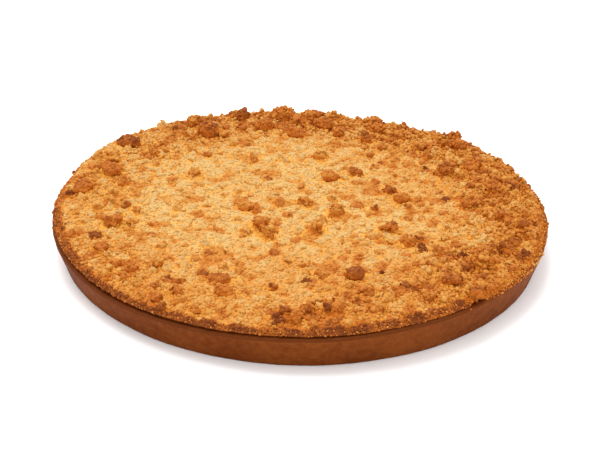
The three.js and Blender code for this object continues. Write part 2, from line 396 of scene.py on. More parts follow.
def strewn_crumbs(shapes):
    """Strews crumbs on a surface, most where its share is high, none closer than spacing,
    and wider and less sunk where they lie loose."""
    enough = 2.5  # points to try for in a square as wide as the spacing
    tree, entry, result = geometry_tree(
        "Strewn Crumbs",
        ("Spacing", FLOAT, 2 * MM),
        ("Smallest", FLOAT, 1 * MM),
        ("Largest", FLOAT, 2 * MM),
        ("Sunk", FLOAT, 0.3),
        ("Loose Lift", FLOAT, 0.25),
        ("Loose Growth", FLOAT, 0.35),
        ("Browning Spread", FLOAT, 0.2),
        *SHAPE_INPUTS,
    )
    seed = entry["Seed"]
    square = times(tree, entry["Spacing"], entry["Spacing"])
    inputs = {
        "Mesh": entry["Geometry"],
        "Distance Min": entry["Spacing"],
        "Density Max": maths(tree, "DIVIDE", enough, square),
        "Density Factor": kept(tree, "share"),
        "Seed": seed,
    }
    kind = "GeometryNodeDistributePointsOnFaces"
    fallen = new_node(tree, kind, inputs, distribute_method="POISSON").outputs
    chance = random_number(tree, 0.0, 1.0, later_seed(tree, seed, WIDTH_DRAW))
    more = maths(tree, "SUBTRACT", entry["Largest"], entry["Smallest"])
    width = maths(tree, "MULTIPLY_ADD", times(tree, chance, chance), more, entry["Smallest"])
    wider = maths(tree, "MULTIPLY_ADD", kept(tree, "loose"), entry["Loose Growth"], 1.0)
    points = stored(tree, fallen["Points"], "width", times(tree, width, wider))
    thickness = times(tree, kept(tree, "width"), entry["Flatness"])
    lift = times(tree, kept(tree, "loose"), entry["Loose Lift"])
    above = maths(tree, "ADD", maths(tree, "SUBTRACT", 0.5, entry["Sunk"]), lift)
    lifted = moved(tree, points, grown(tree, fallen["Normal"], times(tree, thickness, above)))
    draw = random_number(tree, -0.5, 0.5, later_seed(tree, seed, BROWNING_DRAW))
    spread = entry["Browning Spread"]
    browning = maths(tree, "MULTIPLY_ADD", draw, spread, kept(tree, "browning"))
    inputs = {"Geometry": stored(tree, lifted, "browning", browning)}
    for name in ("Facets", "Unevenness", "Grains", "Flatness", "Seed", "Material"):
        inputs[name] = entry[name]
    crumbs = add(tree, "GeometryNodeGroup", inputs, node_tree=shapes)
    tree.links.new(crumbs, result["Geometry"])
    return tree


def grainy_bed():
    """Raises the finest crumbs as relief on a surface, where its share says so."""
    jostle = 1.4 * MM  # how far grains move out of line
    smaller = 2.1  # small grains in the width of a large one
    lower = 0.4  # height of small grains against large ones
    tree, entry, result = geometry_tree(
        "Grainy Bed", ("Relief", FLOAT, 1 * MM), ("Grain Size", FLOAT, 2 * MM)
    )
    place = position(tree)
    per_grain = maths(tree, "DIVIDE", 1.0, entry["Grain Size"])
    wander = summed(tree, noise(tree, place, 260.0, 1.0, "Color"), (-0.5,) * 3)
    jostled = summed(tree, place, grown(tree, wander, jostle))
    large = maths(tree, "SUBTRACT", 0.75, cells(tree, jostled, per_grain))
    small = maths(tree, "SUBTRACT", 0.6, cells(tree, jostled, times(tree, per_grain, smaller)))
    bumps = maths(tree, "MULTIPLY_ADD", small, lower, large)
    grainy = raised(
        tree, entry["Geometry"], times(tree, bumps, entry["Relief"], kept(tree, "share"))
    )
    put_out(tree, forget(tree, grainy, "share"), entry, result)
    return tree


def craggy_lump():
    """Turns a coarse CAD lump into a craggy one of the same form."""
    touching = 0.01 * MM
    tree, entry, result = geometry_tree(
        "Craggy Lump",
        ("Swell", FLOAT, 0.2 * MM),
        ("Crag", FLOAT, 3.2 * MM),
        ("Grain", FLOAT, 1.1 * MM),
        ("Browning", FLOAT, 0.7),
        ("Browning Spread", FLOAT, 0.3),
    )
    inputs = {"Geometry": entry["Geometry"], "Distance": touching}
    merged = add(tree, "GeometryNodeMergeByDistance", inputs)
    inputs = {"Mesh": merged, "Level": 3}
    fine = add(tree, "GeometryNodeSubdivisionSurface", inputs)
    place = position(tree)
    bend = centred(tree, noise(tree, place, 170.0, 1.0))
    craggy = raised(
        tree, fine, maths(tree, "MULTIPLY_ADD", bend, entry["Crag"], entry["Swell"])
    )
    grain = maths(tree, "SUBTRACT", 0.5, cells(tree, place, 560.0))
    grainy = raised(tree, craggy, times(tree, grain, entry["Grain"]))
    patches = centred(tree, noise(tree, place, 330.0, 2.0))
    spread = entry["Browning Spread"]
    browning = maths(tree, "MULTIPLY_ADD", patches, spread, entry["Browning"])
    put_out(tree, stored(tree, grainy, "browning", browning), entry, result)
    return tree


def pressed_pastry():
    """Gives a smooth crust its shallow dents and fine grain, and a ragged crown."""
    tree, entry, result = geometry_tree(
        "Pressed Pastry",
        ("Dent", FLOAT, 0.5 * MM),
        ("Grain", FLOAT, 0.1 * MM),
        ("Crown Grain", FLOAT, 0.3 * MM),
    )
    place = position(tree)
    dents = times(tree, centred(tree, noise(tree, place, 55.0, 2.0)), entry["Dent"])
    grain = times(tree, centred(tree, noise(tree, place, 700.0, 3.0)), entry["Grain"])
    crown = maths(tree, "SUBTRACT", 0.4, cells(tree, place, 620.0))
    ragged = times(tree, crown, entry["Crown Grain"], kept(tree, "share"))
    total = maths(tree, "ADD", maths(tree, "ADD", dents, grain), ragged)
    relieved = raised(tree, entry["Geometry"], times(tree, total, kept(tree, "free")))
    put_out(tree, forget(tree, relieved, "free", "share"), entry, result)
    return tree


# ---- Materials


def new_material(name, view_colour):
    material = bpy.data.materials.new(name)
    material.use_nodes = True
    material.diffuse_color = (*view_colour, 1.0)
    tree = material.node_tree
    return tree, tree.nodes["Principled BSDF"]


def object_place(tree):
    return add(tree, "ShaderNodeTexCoord", output="Object")


def attribute(tree, name):
    return add(tree, "ShaderNodeAttribute", output="Fac", attribute_name=name)


def bumped(tree, shader, height, distance, strength):
    inputs = {"Strength": strength, "Distance": distance, "Height": height}
    bump = add(tree, "ShaderNodeBump", inputs)
    tree.links.new(bump, shader.inputs["Normal"])


# The crumble's colours, by the names of their settings; the last two are painted bounce light for
# its pits and undersides
DOUGH_COLOURS = ("pale", "golden", "toasted", "scorched", "painted_pit_light", "painted_browned_pit_light")


def baked_dough():
    """Colours dough by how browned it is, and paints warm bounce light, with shade on the most
    browned dough, into its pits and undersides by how high it lies among its crumbs.
    """
    inputs = [
        ("Vector", "NodeSocketVector", None),
        ("Browning", FLOAT, 0.3),
        ("Rise", FLOAT, 1.0),
        *((name.title(), COLOUR, None) for name in DOUGH_COLOURS),
    ]
    outputs = [("Color", COLOUR), ("Roughness", FLOAT), ("Height", FLOAT)]
    tree, entry, result = new_tree("Baked Dough", "ShaderNodeTree", inputs, outputs)
    specks = noise(tree, entry["Vector"], 900.0, 3.0)
    blotches = noise(tree, entry["Vector"], 240.0, 2.0)
    blotched = times(tree, centred(tree, blotches), 0.5)
    unevenly = maths(tree, "MULTIPLY_ADD", centred(tree, specks), 0.14, blotched)
    browning = maths(tree, "ADD", entry["Browning"], unevenly)
    first = mixed(tree, ranged(tree, browning, 0.0, 0.4), entry["Pale"], entry["Golden"])
    second = mixed(tree, ranged(tree, browning, 0.4, 0.72), first, entry["Toasted"])
    third = mixed(tree, ranged(tree, browning, 0.72, 1.0), second, entry["Scorched"])
    # Painted light and shade: points low among the crumbs or facing down take the painted pit
    # light, and on the most browned dough the scorched colour as painted shade
    deep = ranged(tree, entry["Rise"], 0.0, 0.7, 1.0, 0.0)
    painted_warm_light = mixed(tree, ranged(tree, browning, 0.05, 0.6), entry["Painted_Pit_Light"], entry["Painted_Browned_Pit_Light"])
    painted_pit_light = mixed(tree, ranged(tree, browning, 0.8, 1.1), painted_warm_light, entry["Scorched"])
    tree.links.new(mixed(tree, deep, third, painted_pit_light), result["Color"])
    tree.links.new(ranged(tree, specks, 0.3, 0.7, 0.72, 0.92), result["Roughness"])
    tree.links.new(specks, result["Height"])
    return tree


def crumble_material(settings, dough):
    tree, shader = new_material("Baked Crumble", settings.golden)
    colour = tree.nodes.new("ShaderNodeGroup")
    colour.node_tree = dough
    tree.links.new(object_place(tree), colour.inputs["Vector"])
    tree.links.new(attribute(tree, "browning"), colour.inputs["Browning"])
    # rise places the painted bounce light and shade in the pits and on the undersides
    tree.links.new(attribute(tree, "rise"), colour.inputs["Rise"])
    for name in DOUGH_COLOURS:
        colour.inputs[name.title()].default_value = (*getattr(settings, name), 1.0)
    tree.links.new(colour.outputs["Color"], shader.inputs["Base Color"])
    tree.links.new(colour.outputs["Roughness"], shader.inputs["Roughness"])
    shader.inputs["Specular IOR Level"].default_value = 0.12
    bumped(tree, shader, colour.outputs["Height"], 0.3 * MM, 0.5)


def crust_material(settings):
    tree, shader = new_material("Baked Crust", settings.brown)
    brown, light, scorched = (
        (*colour, 1.0) for colour in (settings.brown, settings.light, settings.scorched)
    )
    place = object_place(tree)
    broad = noise(tree, place, 22.0, 2.0)
    mottle = noise(tree, place, 260.0, 3.0)
    speck = noise(tree, place, 900.0, 3.0)
    wander = times(tree, centred(tree, mottle), 1.6 * MM)
    level = maths(tree, "ADD", attribute(tree, "level"), wander)
    paler = maths(tree, "MULTIPLY_ADD", mottle, 0.55, times(tree, broad, 0.7))
    wall = mixed(tree, ranged(tree, paler, 0.5, 0.78), brown, light)
    specked = mixed(tree, ranged(tree, speck, 0.45, 0.7, 0.0, 0.5), wall, scorched)
    at_lip = ranged(tree, level, (SHOULDER - 1.0) * MM, (SHOULDER - 0.2) * MM)
    # The wall is darkened towards its foot with the same colour as the lip
    at_foot = ranged(tree, level, 0.1 * MM, 1.1 * MM, 1.0, 0.0)
    lip = times(tree, at_lip, attribute(tree, "scorching"))
    edge = times(tree, maths(tree, "MAXIMUM", lip, at_foot), 0.85)
    tree.links.new(mixed(tree, edge, specked, scorched), shader.inputs["Base Color"])
    tree.links.new(ranged(tree, speck, 0.3, 0.7, 0.5, 0.7), shader.inputs["Roughness"])
    shader.inputs["Specular IOR Level"].default_value = 0.04
    bumped(tree, shader, mottle, 0.5 * MM, 0.6)


# ---- Meshes


def to_mesh(name, points, faces):
    mesh = bpy.data.meshes.new(name)
    mesh.from_pydata(points, [], faces)
    mesh.update()
    return mesh


def keep(mesh, name, values):
    """Keeps a number on each point of a mesh."""
    made = mesh.attributes.get(name) or mesh.attributes.new(name, "FLOAT", "POINT")
    made.data.foreach_set("value", np.asarray(values, dtype=np.float32))


def numbers_of(mesh, name):
    """The numbers kept on a mesh's points, or zeros."""
    values = np.zeros(len(mesh.vertices), dtype=np.float32)
    if name in mesh.attributes:
        mesh.attributes[name].data.foreach_get("value", values)
    return values


def places_of(mesh):
    places = np.empty(len(mesh.vertices) * 3, dtype=np.float32)
    mesh.vertices.foreach_get("co", places)
    return places.reshape(-1, 3).astype(float)


def in_plan(places):
    """How far across and back each place is, in millimetres."""
    return places[:, 0] / MM, places[:, 1] / MM


def grown_by(tree, name, mesh, material="Baked Crumble", **inputs):
    """A plain object holding what a geometry node tree makes of a mesh. An input's name is
    written with underscores for spaces, as in browning_spread."""
    source = bpy.data.objects.new(name + "_source", mesh)
    bpy.context.scene.collection.objects.link(source)
    modifier = source.modifiers.new("Nodes", "NODES")
    modifier.node_group = tree
    identifiers = {
        item.name: item.identifier
        for item in tree.interface.items_tree
        if item.item_type == "SOCKET" and item.in_out == "INPUT"
    }
    modifier[identifiers["Material"]] = bpy.data.materials[material]
    for key, value in inputs.items():
        modifier[identifiers[key.replace("_", " ").title()]] = value
    evaluated = source.evaluated_get(bpy.context.evaluated_depsgraph_get())
    made = bpy.data.meshes.new_from_object(evaluated)
    made.name = name
    bpy.data.objects.remove(source)
    piece = bpy.data.objects.new(name, made)
    bpy.context.scene.collection.objects.link(piece)
    return piece


def ride_with(piece, slot, *nodes):
    """Tells the frame what a finished piece rides on and replaces. slot, what it would take its
    finish from, is not used.
    """
    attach(piece, BODY)
    if nodes:
        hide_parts(*nodes)


def arc(middle, radii, start, end, steps):
    """Points on an ellipse, from one angle in degrees to another."""
    angles = np.radians(np.linspace(start, end, steps + 1))
    return [
        (middle[0] + radii[0] * math.cos(a), middle[1] + radii[1] * math.sin(a))
        for a in angles
    ]


def evenly(start, end, spacing):
    """Points on a straight line, without its ends, no further apart than spacing."""
    count = math.ceil(math.dist(start, end) / spacing)
    return [
        tuple(start[k] + (end[k] - start[k]) * i / count for k in (0, 1))
        for i in range(1, count)
    ]


def rim_lift(angle):
    """How far the rim rises and falls, by the angle round the tart, as in the source."""
    return (
        1.84 * np.sin(2 * angle + 2.63)
        + 0.7 * np.sin(3 * angle)
        + 0.2 * np.sin(7 * angle + 2.1)
        + 0.14 * np.sin(13 * angle + 4)
    )


def lift_at(x, y):
    """How far the rim's rise and fall lifts a place in plan, in millimetres."""
    return rim_lift(np.arctan2(y, x)) * smooth(clamp01(np.hypot(x, y) / 130))


def wall_swell(angle):
    """How far the wall stands in or out of a true circle, as in the source."""
    return (
        0.3 * np.sin(2 * angle + 1)
        + 0.22 * np.sin(5 * angle + 3.3)
        + 0.12 * np.sin(11 * angle)
    )


def crust_mesh():
    """The crust's section turned round its axis, with the same unevenness as the solid."""
    sides = 640
    inner_foot = BASE_RADIUS - WALL + 1
    foot = arc((BASE_RADIUS - FOOT_ROUND, FOOT_ROUND), (FOOT_ROUND,) * 2, -90, -15, 5)
    crown = arc((CROWN_MIDDLE, SHOULDER), (WALL / 2, CROWN), 0, 180, 12)
    hollow = arc((inner_foot - FOOT_ROUND, FLOOR + FOOT_ROUND), (FOOT_ROUND,) * 2, -10, -90, 2)
    profile = [*foot, *evenly(foot[-1], crown[0], 0.6), *crown, *hollow]
    radii = np.array([radius for radius, _ in profile])
    heights = np.array([height for _, height in profile])
    angles = np.linspace(0, 2 * math.pi, sides, endpoint=False)
    near_wall = smooth(clamp01((radii - 110) / 16))
    swollen = radii[:, None] + wall_swell(angles)[None, :] * near_wall[:, None]
    x = swollen * np.cos(angles)[None, :]
    y = swollen * np.sin(angles)[None, :]
    lifted = heights[:, None] + lift_at(x, y) * smooth(clamp01(heights / RIM_HEIGHT))[:, None]
    points = np.stack([x, y, lifted], axis=-1).reshape(-1, 3) * MM
    rings = len(profile)
    faces = []
    for ring in range(rings - 1):
        for side in range(sides):
            beside = (side + 1) % sides
            below, above = ring * sides, (ring + 1) * sides
            faces.append((below + side, below + beside, above + beside, above + side))
    faces.append(tuple(range(sides - 1, -1, -1)))
    faces.append(tuple((rings - 1) * sides + side for side in range(sides)))
    mesh = to_mesh("crust_form", points, faces)
    level = np.repeat(heights, sides)
    outside = np.repeat(np.arange(rings) < rings - len(hollow), sides)
    keep(mesh, "level", level * MM)
    keep(mesh, "share", smooth(clamp01((level - SHOULDER + 1.0) / 1.2)) * outside)
    keep(mesh, "free", clamp01(level / 0.6) * outside)
    keep(mesh, "scorching", scorching_at(points[:, 0], points[:, 1]))
    return mesh


def blurred(grid, rounds):
    """A grid of heights, evened out with its neighbours."""
    for _ in range(rounds):
        wide = np.pad(grid, 1, mode="edge")
        grid = (
            4 * wide[1:-1, 1:-1]
            + 2 * (wide[:-2, 1:-1] + wide[2:, 1:-1] + wide[1:-1, :-2] + wide[1:-1, 2:])
            + wide[:-2, :-2] + wide[:-2, 2:] + wide[2:, :-2] + wide[2:, 2:]
        ) / 16
    return grid


def surface_of(node):
    """A CAD node's surface, for finding how high it lies at a place."""
    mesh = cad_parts[node].data
    corners = [tuple(face.vertices) for face in mesh.polygons]
    return BVHTree.FromPolygons([point.co for point in mesh.vertices], corners)


def height_at(surface, across, back, otherwise):
    """The height of a surface at a place, all in millimetres, or another where it has none."""
    start = Vector((across, back, RIM_HEIGHT * 4)) * MM
    place = surface.ray_cast(start, Vector((0, 0, -1)))[0]
    return place.z / MM if place else otherwise


def bed_mesh():
    """The topping's body: a disc of fine squares laid over the CAD solid, closed below."""
    squares = 280
    inward = 0.995  # keeps the outermost rays on the solid
    blend = 4.5  # width in which the heap's surface gives way to the rim's crown
    clear = 0.15  # how far the bed stays under the crown
    steps = np.linspace(-1, 1, squares + 1)
    a, b = np.meshgrid(steps, steps, indexing="ij")
    mostly_a = np.abs(a) > np.abs(b)
    safe_a = np.where(a == 0, 1, a)
    safe_b = np.where(b == 0, 1, b)
    radius = np.where(mostly_a, a, b)
    angle = np.where(
        mostly_a, math.pi / 4 * b / safe_a, math.pi / 2 - math.pi / 4 * a / safe_b
    )
    angle = np.where((a == 0) & (b == 0), 0, angle)
    swell = wall_swell(np.arctan2(radius * np.sin(angle), radius * np.cos(angle)))
    reach = (BED_EDGE + swell) * radius
    x, y = reach * np.cos(angle), reach * np.sin(angle)
    heap = surface_of("crumble")
    heights = np.empty_like(x)
    for index in np.ndindex(x.shape):
        heights[index] = height_at(heap, x[index] * inward, y[index] * inward, RIM_HEIGHT)
    heights = blurred(heights, 4)
    to_crown = smooth(clamp01((reach - BED_EDGE + blend) / blend))
    down = 1 - math.sqrt(1 - ((BED_EDGE - CROWN_MIDDLE) / (WALL / 2)) ** 2)
    crown = RIM_HEIGHT - CROWN * down - clear + lift_at(x, y)
    heights = heights * (1 - to_crown) + crown * to_crown
    count = squares + 1
    points = [np.stack([x, y, heights], axis=-1).reshape(-1, 3)]
    faces = []
    for i in range(squares):
        for j in range(squares):
            corner = i * count + j
            faces.append((corner, corner + count, corner + count + 1, corner + 1))
    edge = (
        [i * count for i in range(squares)]
        + [squares * count + j for j in range(squares)]
        + [i * count + squares for i in range(squares, 0, -1)]
        + list(range(squares, 0, -1))
    )
    top = points[0][edge]
    inner_foot = BASE_RADIUS - WALL
    gap = 0.8  # between the bed's hidden sides and the crust
    lift = lift_at(top[:, 0], top[:, 1])
    levels = [
        (RIM_RADIUS - WALL - gap, SHOULDER - gap + lift),
        (inner_foot - FOOT_ROUND / 2, np.full_like(lift, FLOOR + gap)),
    ]
    start = count * count
    ring_below = edge
    angles = np.arctan2(top[:, 1], top[:, 0])
    for level_radius, level in levels:
        ring = np.stack(
            [level_radius * np.cos(angles), level_radius * np.sin(angles), level],
            axis=-1,
        )
        points.append(ring)
        ring_new = list(range(start, start + len(edge)))
        start += len(edge)
        for k in range(len(edge)):
            following = (k + 1) % len(edge)
            faces.append(
                (ring_below[k], ring_new[k], ring_new[following], ring_below[following])
            )
        ring_below = ring_new
    faces.append(tuple(reversed(ring_below)))
    places = np.concatenate(points)
    mesh = to_mesh("bed_form", places * MM, faces)
    on_top = np.arange(len(places)) < count * count
    radius = np.hypot(places[:, 0], places[:, 1])
    keep(mesh, "share", on_top * clamp01((BED_EDGE - radius) / 3))
    return mesh


# ---- How high each point lies among the crumbs, which places the painted light and shade in the pits


def cell_of(places):
    """The cell of a square grid over the tart in which each place lies."""
    return tuple(((places[:, axis] / MM + HEAP_REACH) / HEAP_CELL).astype(int) for axis in (0, 1))


def upward_of(mesh):
    """How far the surface faces up at each point, from -1 to 1."""
    normals = np.empty(len(mesh.vertices) * 3, dtype=np.float32)
    mesh.vertex_normals.foreach_get("vector", normals)
    return normals.reshape(-1, 3)[:, 2]


def keep_rise(pieces):
    """Keeps on each point how openly it lies among the crumbs, from 0, deep between them or
    on their undersides, to 1. Where it is low, the crumble's colour paints warm bounce light
    and shade."""
    across = int(2 * HEAP_REACH / HEAP_CELL) + 1
    middles = (np.arange(across) + 0.5) * HEAP_CELL - HEAP_REACH
    x, y = np.meshgrid(middles, middles, indexing="ij")
    tops = np.where(np.hypot(x, y) > BED_EDGE, RIM_HEIGHT + lift_at(x, y), 0)
    for piece in pieces:
        places = places_of(piece.data)
        np.maximum.at(tops, cell_of(places), places[:, 2] / MM)
    wide = np.pad(tops, 1)
    tops = np.max(
        [wide[i : i + across, j : j + across] for i in range(3) for j in range(3)], axis=0
    )
    mean = blurred(tops, HEAP_BLUR)
    for piece in pieces:
        places = places_of(piece.data)
        above = places[:, 2] / MM - mean[cell_of(places)]
        height = smooth(clamp01((above - DEEPEST) / (HIGHEST - DEEPEST)))
        open_to_sky = smooth(clamp01(upward_of(piece.data) + 0.15))
        keep(piece.data, "rise", height * open_to_sky)


# ---- How the tart has browned


def hashed(x, y):
    """A repeatable draw from 0 to 1 for a whole-number place."""
    mixed_up = np.sin(x * 127.1 + y * 311.7) * 43758.5453
    return mixed_up - np.floor(mixed_up)


def patchy(x, y, size):
    """Soft patches from 0 to 1 of about that size, in the unit of x and y."""
    column, row = np.floor(x / size), np.floor(y / size)
    u, v = smooth(x / size - column), smooth(y / size - row)
    near = hashed(column, row) * (1 - u) + hashed(column + 1, row) * u
    far = hashed(column, row + 1) * (1 - u) + hashed(column + 1, row + 1) * u
    return near * (1 - v) + far * v


def band_start(x, y):
    """The radius from which the crumble is scorched by the crust, in millimetres."""
    angle = np.arctan2(y, x)
    return 132.8 + 0.6 * np.cos(3 * (angle + math.pi / 2)) - np.minimum(np.cos(angle), 0)


def scorching_at(x, y):
    """How strongly the crust has scorched the crumbs beside it, from 0 to 1: most along the
    near side, left of its middle, and hardly at the right and the far side."""
    angle = np.arctan2(y, x)
    return 0.15 + 0.85 * smooth(clamp01((np.cos(angle + math.radians(110)) - 0.2) / 0.5))


def looseness_at(places):
    """How loosely the crumbs lie, from 0 to 1: most where they are heaped along the rim, at
    the far side and the right."""
    x, y = in_plan(places)
    along = smooth(clamp01((np.cos(np.arctan2(y, x) - math.radians(40)) + 0.7) / 1.1))
    return smooth(clamp01((np.hypot(x, y) - 80) / 35)) * (0.35 + 0.65 * along)


def browning_at(places):
    """How browned the crumble is at each place: palest left of the middle, deeper to the
    rim and to the right, in patches, and scorched where it meets the crust."""
    x, y = in_plan(places)
    radius = np.hypot(x, y)
    from_pale = smooth(clamp01((np.hypot(x + 35, y - 12) - 30) / 110))
    patches = (patchy(x, y, 19) - 0.5) * 0.22 + (patchy(x + 20, y + 70, 6) - 0.5) * 0.24
    for across, back, width, more in PATCHES:
        near = clamp01(1 - np.hypot(x - across, y - back) / (0.7 * width))
        patches = patches + more * smooth(near)
    to_rim = smooth(clamp01((radius - 78) / 52))
    far_right = 0.74 + 0.2 * np.cos(np.arctan2(y, x) - math.radians(25))
    spots = 0.42 * smooth(clamp01((patchy(x + 50, y + 9, 6.2) - 0.56) / 0.26))
    at_rim = smooth(clamp01((radius - band_start(x, y) + 0.8) / 2.5))
    broad = 0.24 * from_pale + 0.17 * to_rim * far_right
    return broad + patches + spots + 0.6 * at_rim * scorching_at(x, y)


def upper_sides(pieces, steepest=0.25, lowest=SHOULDER + 0.4):
    """One mesh of the upper sides of several pieces, for crumbs to fall on. pieces gives
    each piece's name and how thickly crumbs lie on it, from 0 to 1. steepest is the least
    upward share of a face's direction, and lowest its least height in millimetres, where
    the rim has its mean height."""
    points, faces, share, browning = [], [], [], []
    count = 0
    for name, thickly in pieces.items():
        mesh = bpy.data.objects[name].data
        mesh.calc_loop_triangles()
        places = places_of(mesh)
        corners = np.empty(len(mesh.loop_triangles) * 3, dtype=np.int32)
        mesh.loop_triangles.foreach_get("vertices", corners)
        corners = corners.reshape(-1, 3)
        first, second, third = (places[corners[:, k]] for k in range(3))
        normals = np.cross(second - first, third - first)
        upward = normals[:, 2] > steepest * np.linalg.norm(normals, axis=1)
        high = first[:, 2] / MM > lowest + lift_at(*in_plan(first))
        points.append(places)
        faces.append(corners[upward & high] + count)
        share.append(np.full(len(places), thickly))
        browning.append(numbers_of(mesh, "browning"))
        count += len(places)
    joined = to_mesh("upper_sides", np.concatenate(points), np.concatenate(faces))
    keep(joined, "share", np.concatenate(share))
    keep(joined, "browning", np.concatenate(browning))
    return joined


# ---- Operators, one for each piece or group of like pieces


class TART_OT_crust(Operator):
    """The pressed pastry crust, with its flared wall, its scorched lip and a darker foot."""

    bl_idname = "tart.crust"
    bl_label = "Crust"

    def execute(self, context):
        settings = context.scene.tart_crust
        crust_material(settings)
        piece = grown_by(
            pressed_pastry(),
            "pastry_crust",
            crust_mesh(),
            "Baked Crust",
            dent=settings.dent,
            grain=settings.grain,
        )
        ride_with(piece, "crust", "crust")
        return {"FINISHED"}


class TART_OT_bed(Operator):
    """The topping's body, with its finest crumbs as relief."""

    bl_idname = "tart.bed"
    bl_label = "Crumble Bed"

    def execute(self, context):
        settings = context.scene.tart_crumble
        mesh = bed_mesh()
        keep(mesh, "browning", browning_at(places_of(mesh)))
        piece = grown_by(
            grainy_bed(),
            "crumble_bed",
            mesh,
            relief=settings.relief,
            grain_size=settings.grain_size,
        )
        ride_with(piece, "crumble", "crumble")
        return {"FINISHED"}


# Each kind of loose crumb: spacing and widths in millimetres, how deep it is sunk as a share
# of its thickness, facets as subdivisions of a ball, how uneven and flat it is, how far its
# browning spreads, how much more browned it is than what it lies on, the radius that it keeps
# inside, and the step from the seed in the settings to its own
CRUMB_KINDS = {
    "coarse_crumbs": {
        "spacing": 8.5, "smallest": 3.8, "largest": 7.6, "sunk": 0.62, "facets": 2,
        "unevenness": 0.95, "flatness": 0.7, "browning_spread": 0.5, "shift": 0.22,
        "reach": 132.0, "seed_step": 0,
    },
    "small_crumbs": {
        "spacing": 4.3, "smallest": 2.4, "largest": 4.6, "sunk": 0.72, "facets": 2,
        "unevenness": 1.1, "flatness": 0.85, "browning_spread": 0.26, "shift": 0.04,
        "reach": 134.0, "seed_step": 100,
    },
    "fine_crumbs": {
        "spacing": 2.1, "smallest": 1.7, "largest": 2.8, "sunk": 0.66, "facets": 1,
        "unevenness": 1.0, "flatness": 0.9, "browning_spread": 0.16, "shift": 0.0,
        "reach": 135.0, "seed_step": 200,
    },
    "finest_crumbs": {
        "spacing": 2.1, "smallest": 1.1, "largest": 1.9, "sunk": 0.55, "facets": 1,
        "unevenness": 1.0, "flatness": 0.9, "browning_spread": 0.16, "shift": -0.02,
        "reach": 135.5, "seed_step": 300,
    },
}
LOOSE_GRAINS = 0.16  # height of the grains on a loose crumb, as a share of its width


def crumbs_from(name, surface, kind, grains):
    """Makes a piece of one kind of crumb, strewn on a surface."""
    lengths = {key: kind[key] * MM for key in ("spacing", "smallest", "largest")}
    shape = ("sunk", "facets", "unevenness", "flatness", "browning_spread")
    piece = grown_by(
        bpy.data.node_groups["Strewn Crumbs"],
        name,
        surface,
        **lengths,
        **{key: kind[key] for key in shape},
        grains=grains,
        seed=bpy.context.scene.tart_crumble.seed + kind["seed_step"],
    )
    ride_with(piece, "crumble")


def strew(name, surface):
    """Strews one kind of loose crumb on a surface."""
    kind = CRUMB_KINDS[name]
    places = places_of(surface)
    radius = np.hypot(places[:, 0], places[:, 1]) / MM
    inside = clamp01((kind["reach"] - radius) / 2 + 0.5)
    keep(surface, "share", numbers_of(surface, "share") * inside)
    keep(surface, "browning", numbers_of(surface, "browning") + kind["shift"])
    keep(surface, "loose", looseness_at(places))
    crumbs_from(name, surface, kind, LOOSE_GRAINS)


class TART_OT_coarse_crumbs(Operator):
    """The coarse crumbs, strewn on the bed."""

    bl_idname = "tart.coarse_crumbs"
    bl_label = "Coarse Crumbs"

    def execute(self, context):
        strewn_crumbs(crumb_shapes())
        strew("coarse_crumbs", upper_sides({"crumble_bed": 1.0}))
        return {"FINISHED"}


CLUMP_FLATNESS = 0.8  # thickness as a share of width
CLUMP_SHOWS = 0.8  # about how far a clump stands above the solids, in millimetres
CLUMP_GROWTH = 1.15  # width as a share of the width of the lump in the solids
RIM_CLUMP_RISE = 0.2  # how far a rim clump's middle is above the rim, as a share of width


class TART_OT_clumps(Operator):
    """The smaller lumps that show singly."""

    bl_idname = "tart.clumps"
    bl_label = "Clumps"

    def execute(self, context):
        heap = surface_of("crumble")
        points, widths, brownings = [], [], []
        for across, back, width, browning in CLUMPS:
            top = height_at(heap, across, back, RIM_HEIGHT)
            middle = top + CLUMP_SHOWS - CLUMP_FLATNESS / 2 * width
            points.append((across * MM, back * MM, middle * MM))
            widths.append(width * CLUMP_GROWTH * MM)
            brownings.append(browning)
        for azimuth, width, browning in RIM_CLUMPS:
            angle = math.radians(azimuth)
            height = RIM_HEIGHT + rim_lift(angle) + RIM_CLUMP_RISE * width
            across, back = BED_EDGE * math.cos(angle), BED_EDGE * math.sin(angle)
            points.append((across * MM, back * MM, height * MM))
            widths.append(width * MM)
            brownings.append(browning)
        mesh = to_mesh("clump_places", points, [])
        keep(mesh, "width", widths)
        keep(mesh, "browning", brownings)
        piece = grown_by(
            bpy.data.node_groups["Crumb Shapes"],
            "browned_clumps",
            mesh,
            facets=4,
            unevenness=0.95,
            grains=0.2,
            flatness=CLUMP_FLATNESS,
            seed=context.scene.tart_crumble.seed,
        )
        ride_with(piece, "lump")
        return {"FINISHED"}


class TART_OT_lumps(Operator):
    """The largest lumps, each over its CAD solid."""

    bl_idname = "tart.lumps"
    bl_label = "Lumps"

    def execute(self, context):
        tree = craggy_lump()
        for name, browning in zip(LUMP_NODES, LUMP_BROWNING):
            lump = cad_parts[name].data.copy()
            piece = grown_by(tree, "baked_" + name, lump, browning=browning)
            ride_with(piece, "lump", name)
        return {"FINISHED"}


class TART_OT_crumbs(Operator):
    """The small and fine crumbs, strewn over the bed and over all that lies on it."""

    bl_idname = "tart.crumbs"
    bl_label = "Loose Crumbs"

    def execute(self, context):
        heaped = {"crumble_bed": 1.0, "coarse_crumbs": 0.9, "browned_clumps": 0.8}
        strew("small_crumbs", upper_sides(heaped))
        heaped.update({"small_crumbs": 0.5})
        heaped.update({"baked_" + name: 0.85 for name in LUMP_NODES})
        strew("fine_crumbs", upper_sides(heaped))
        strew("finest_crumbs", upper_sides(heaped))
        return {"FINISHED"}


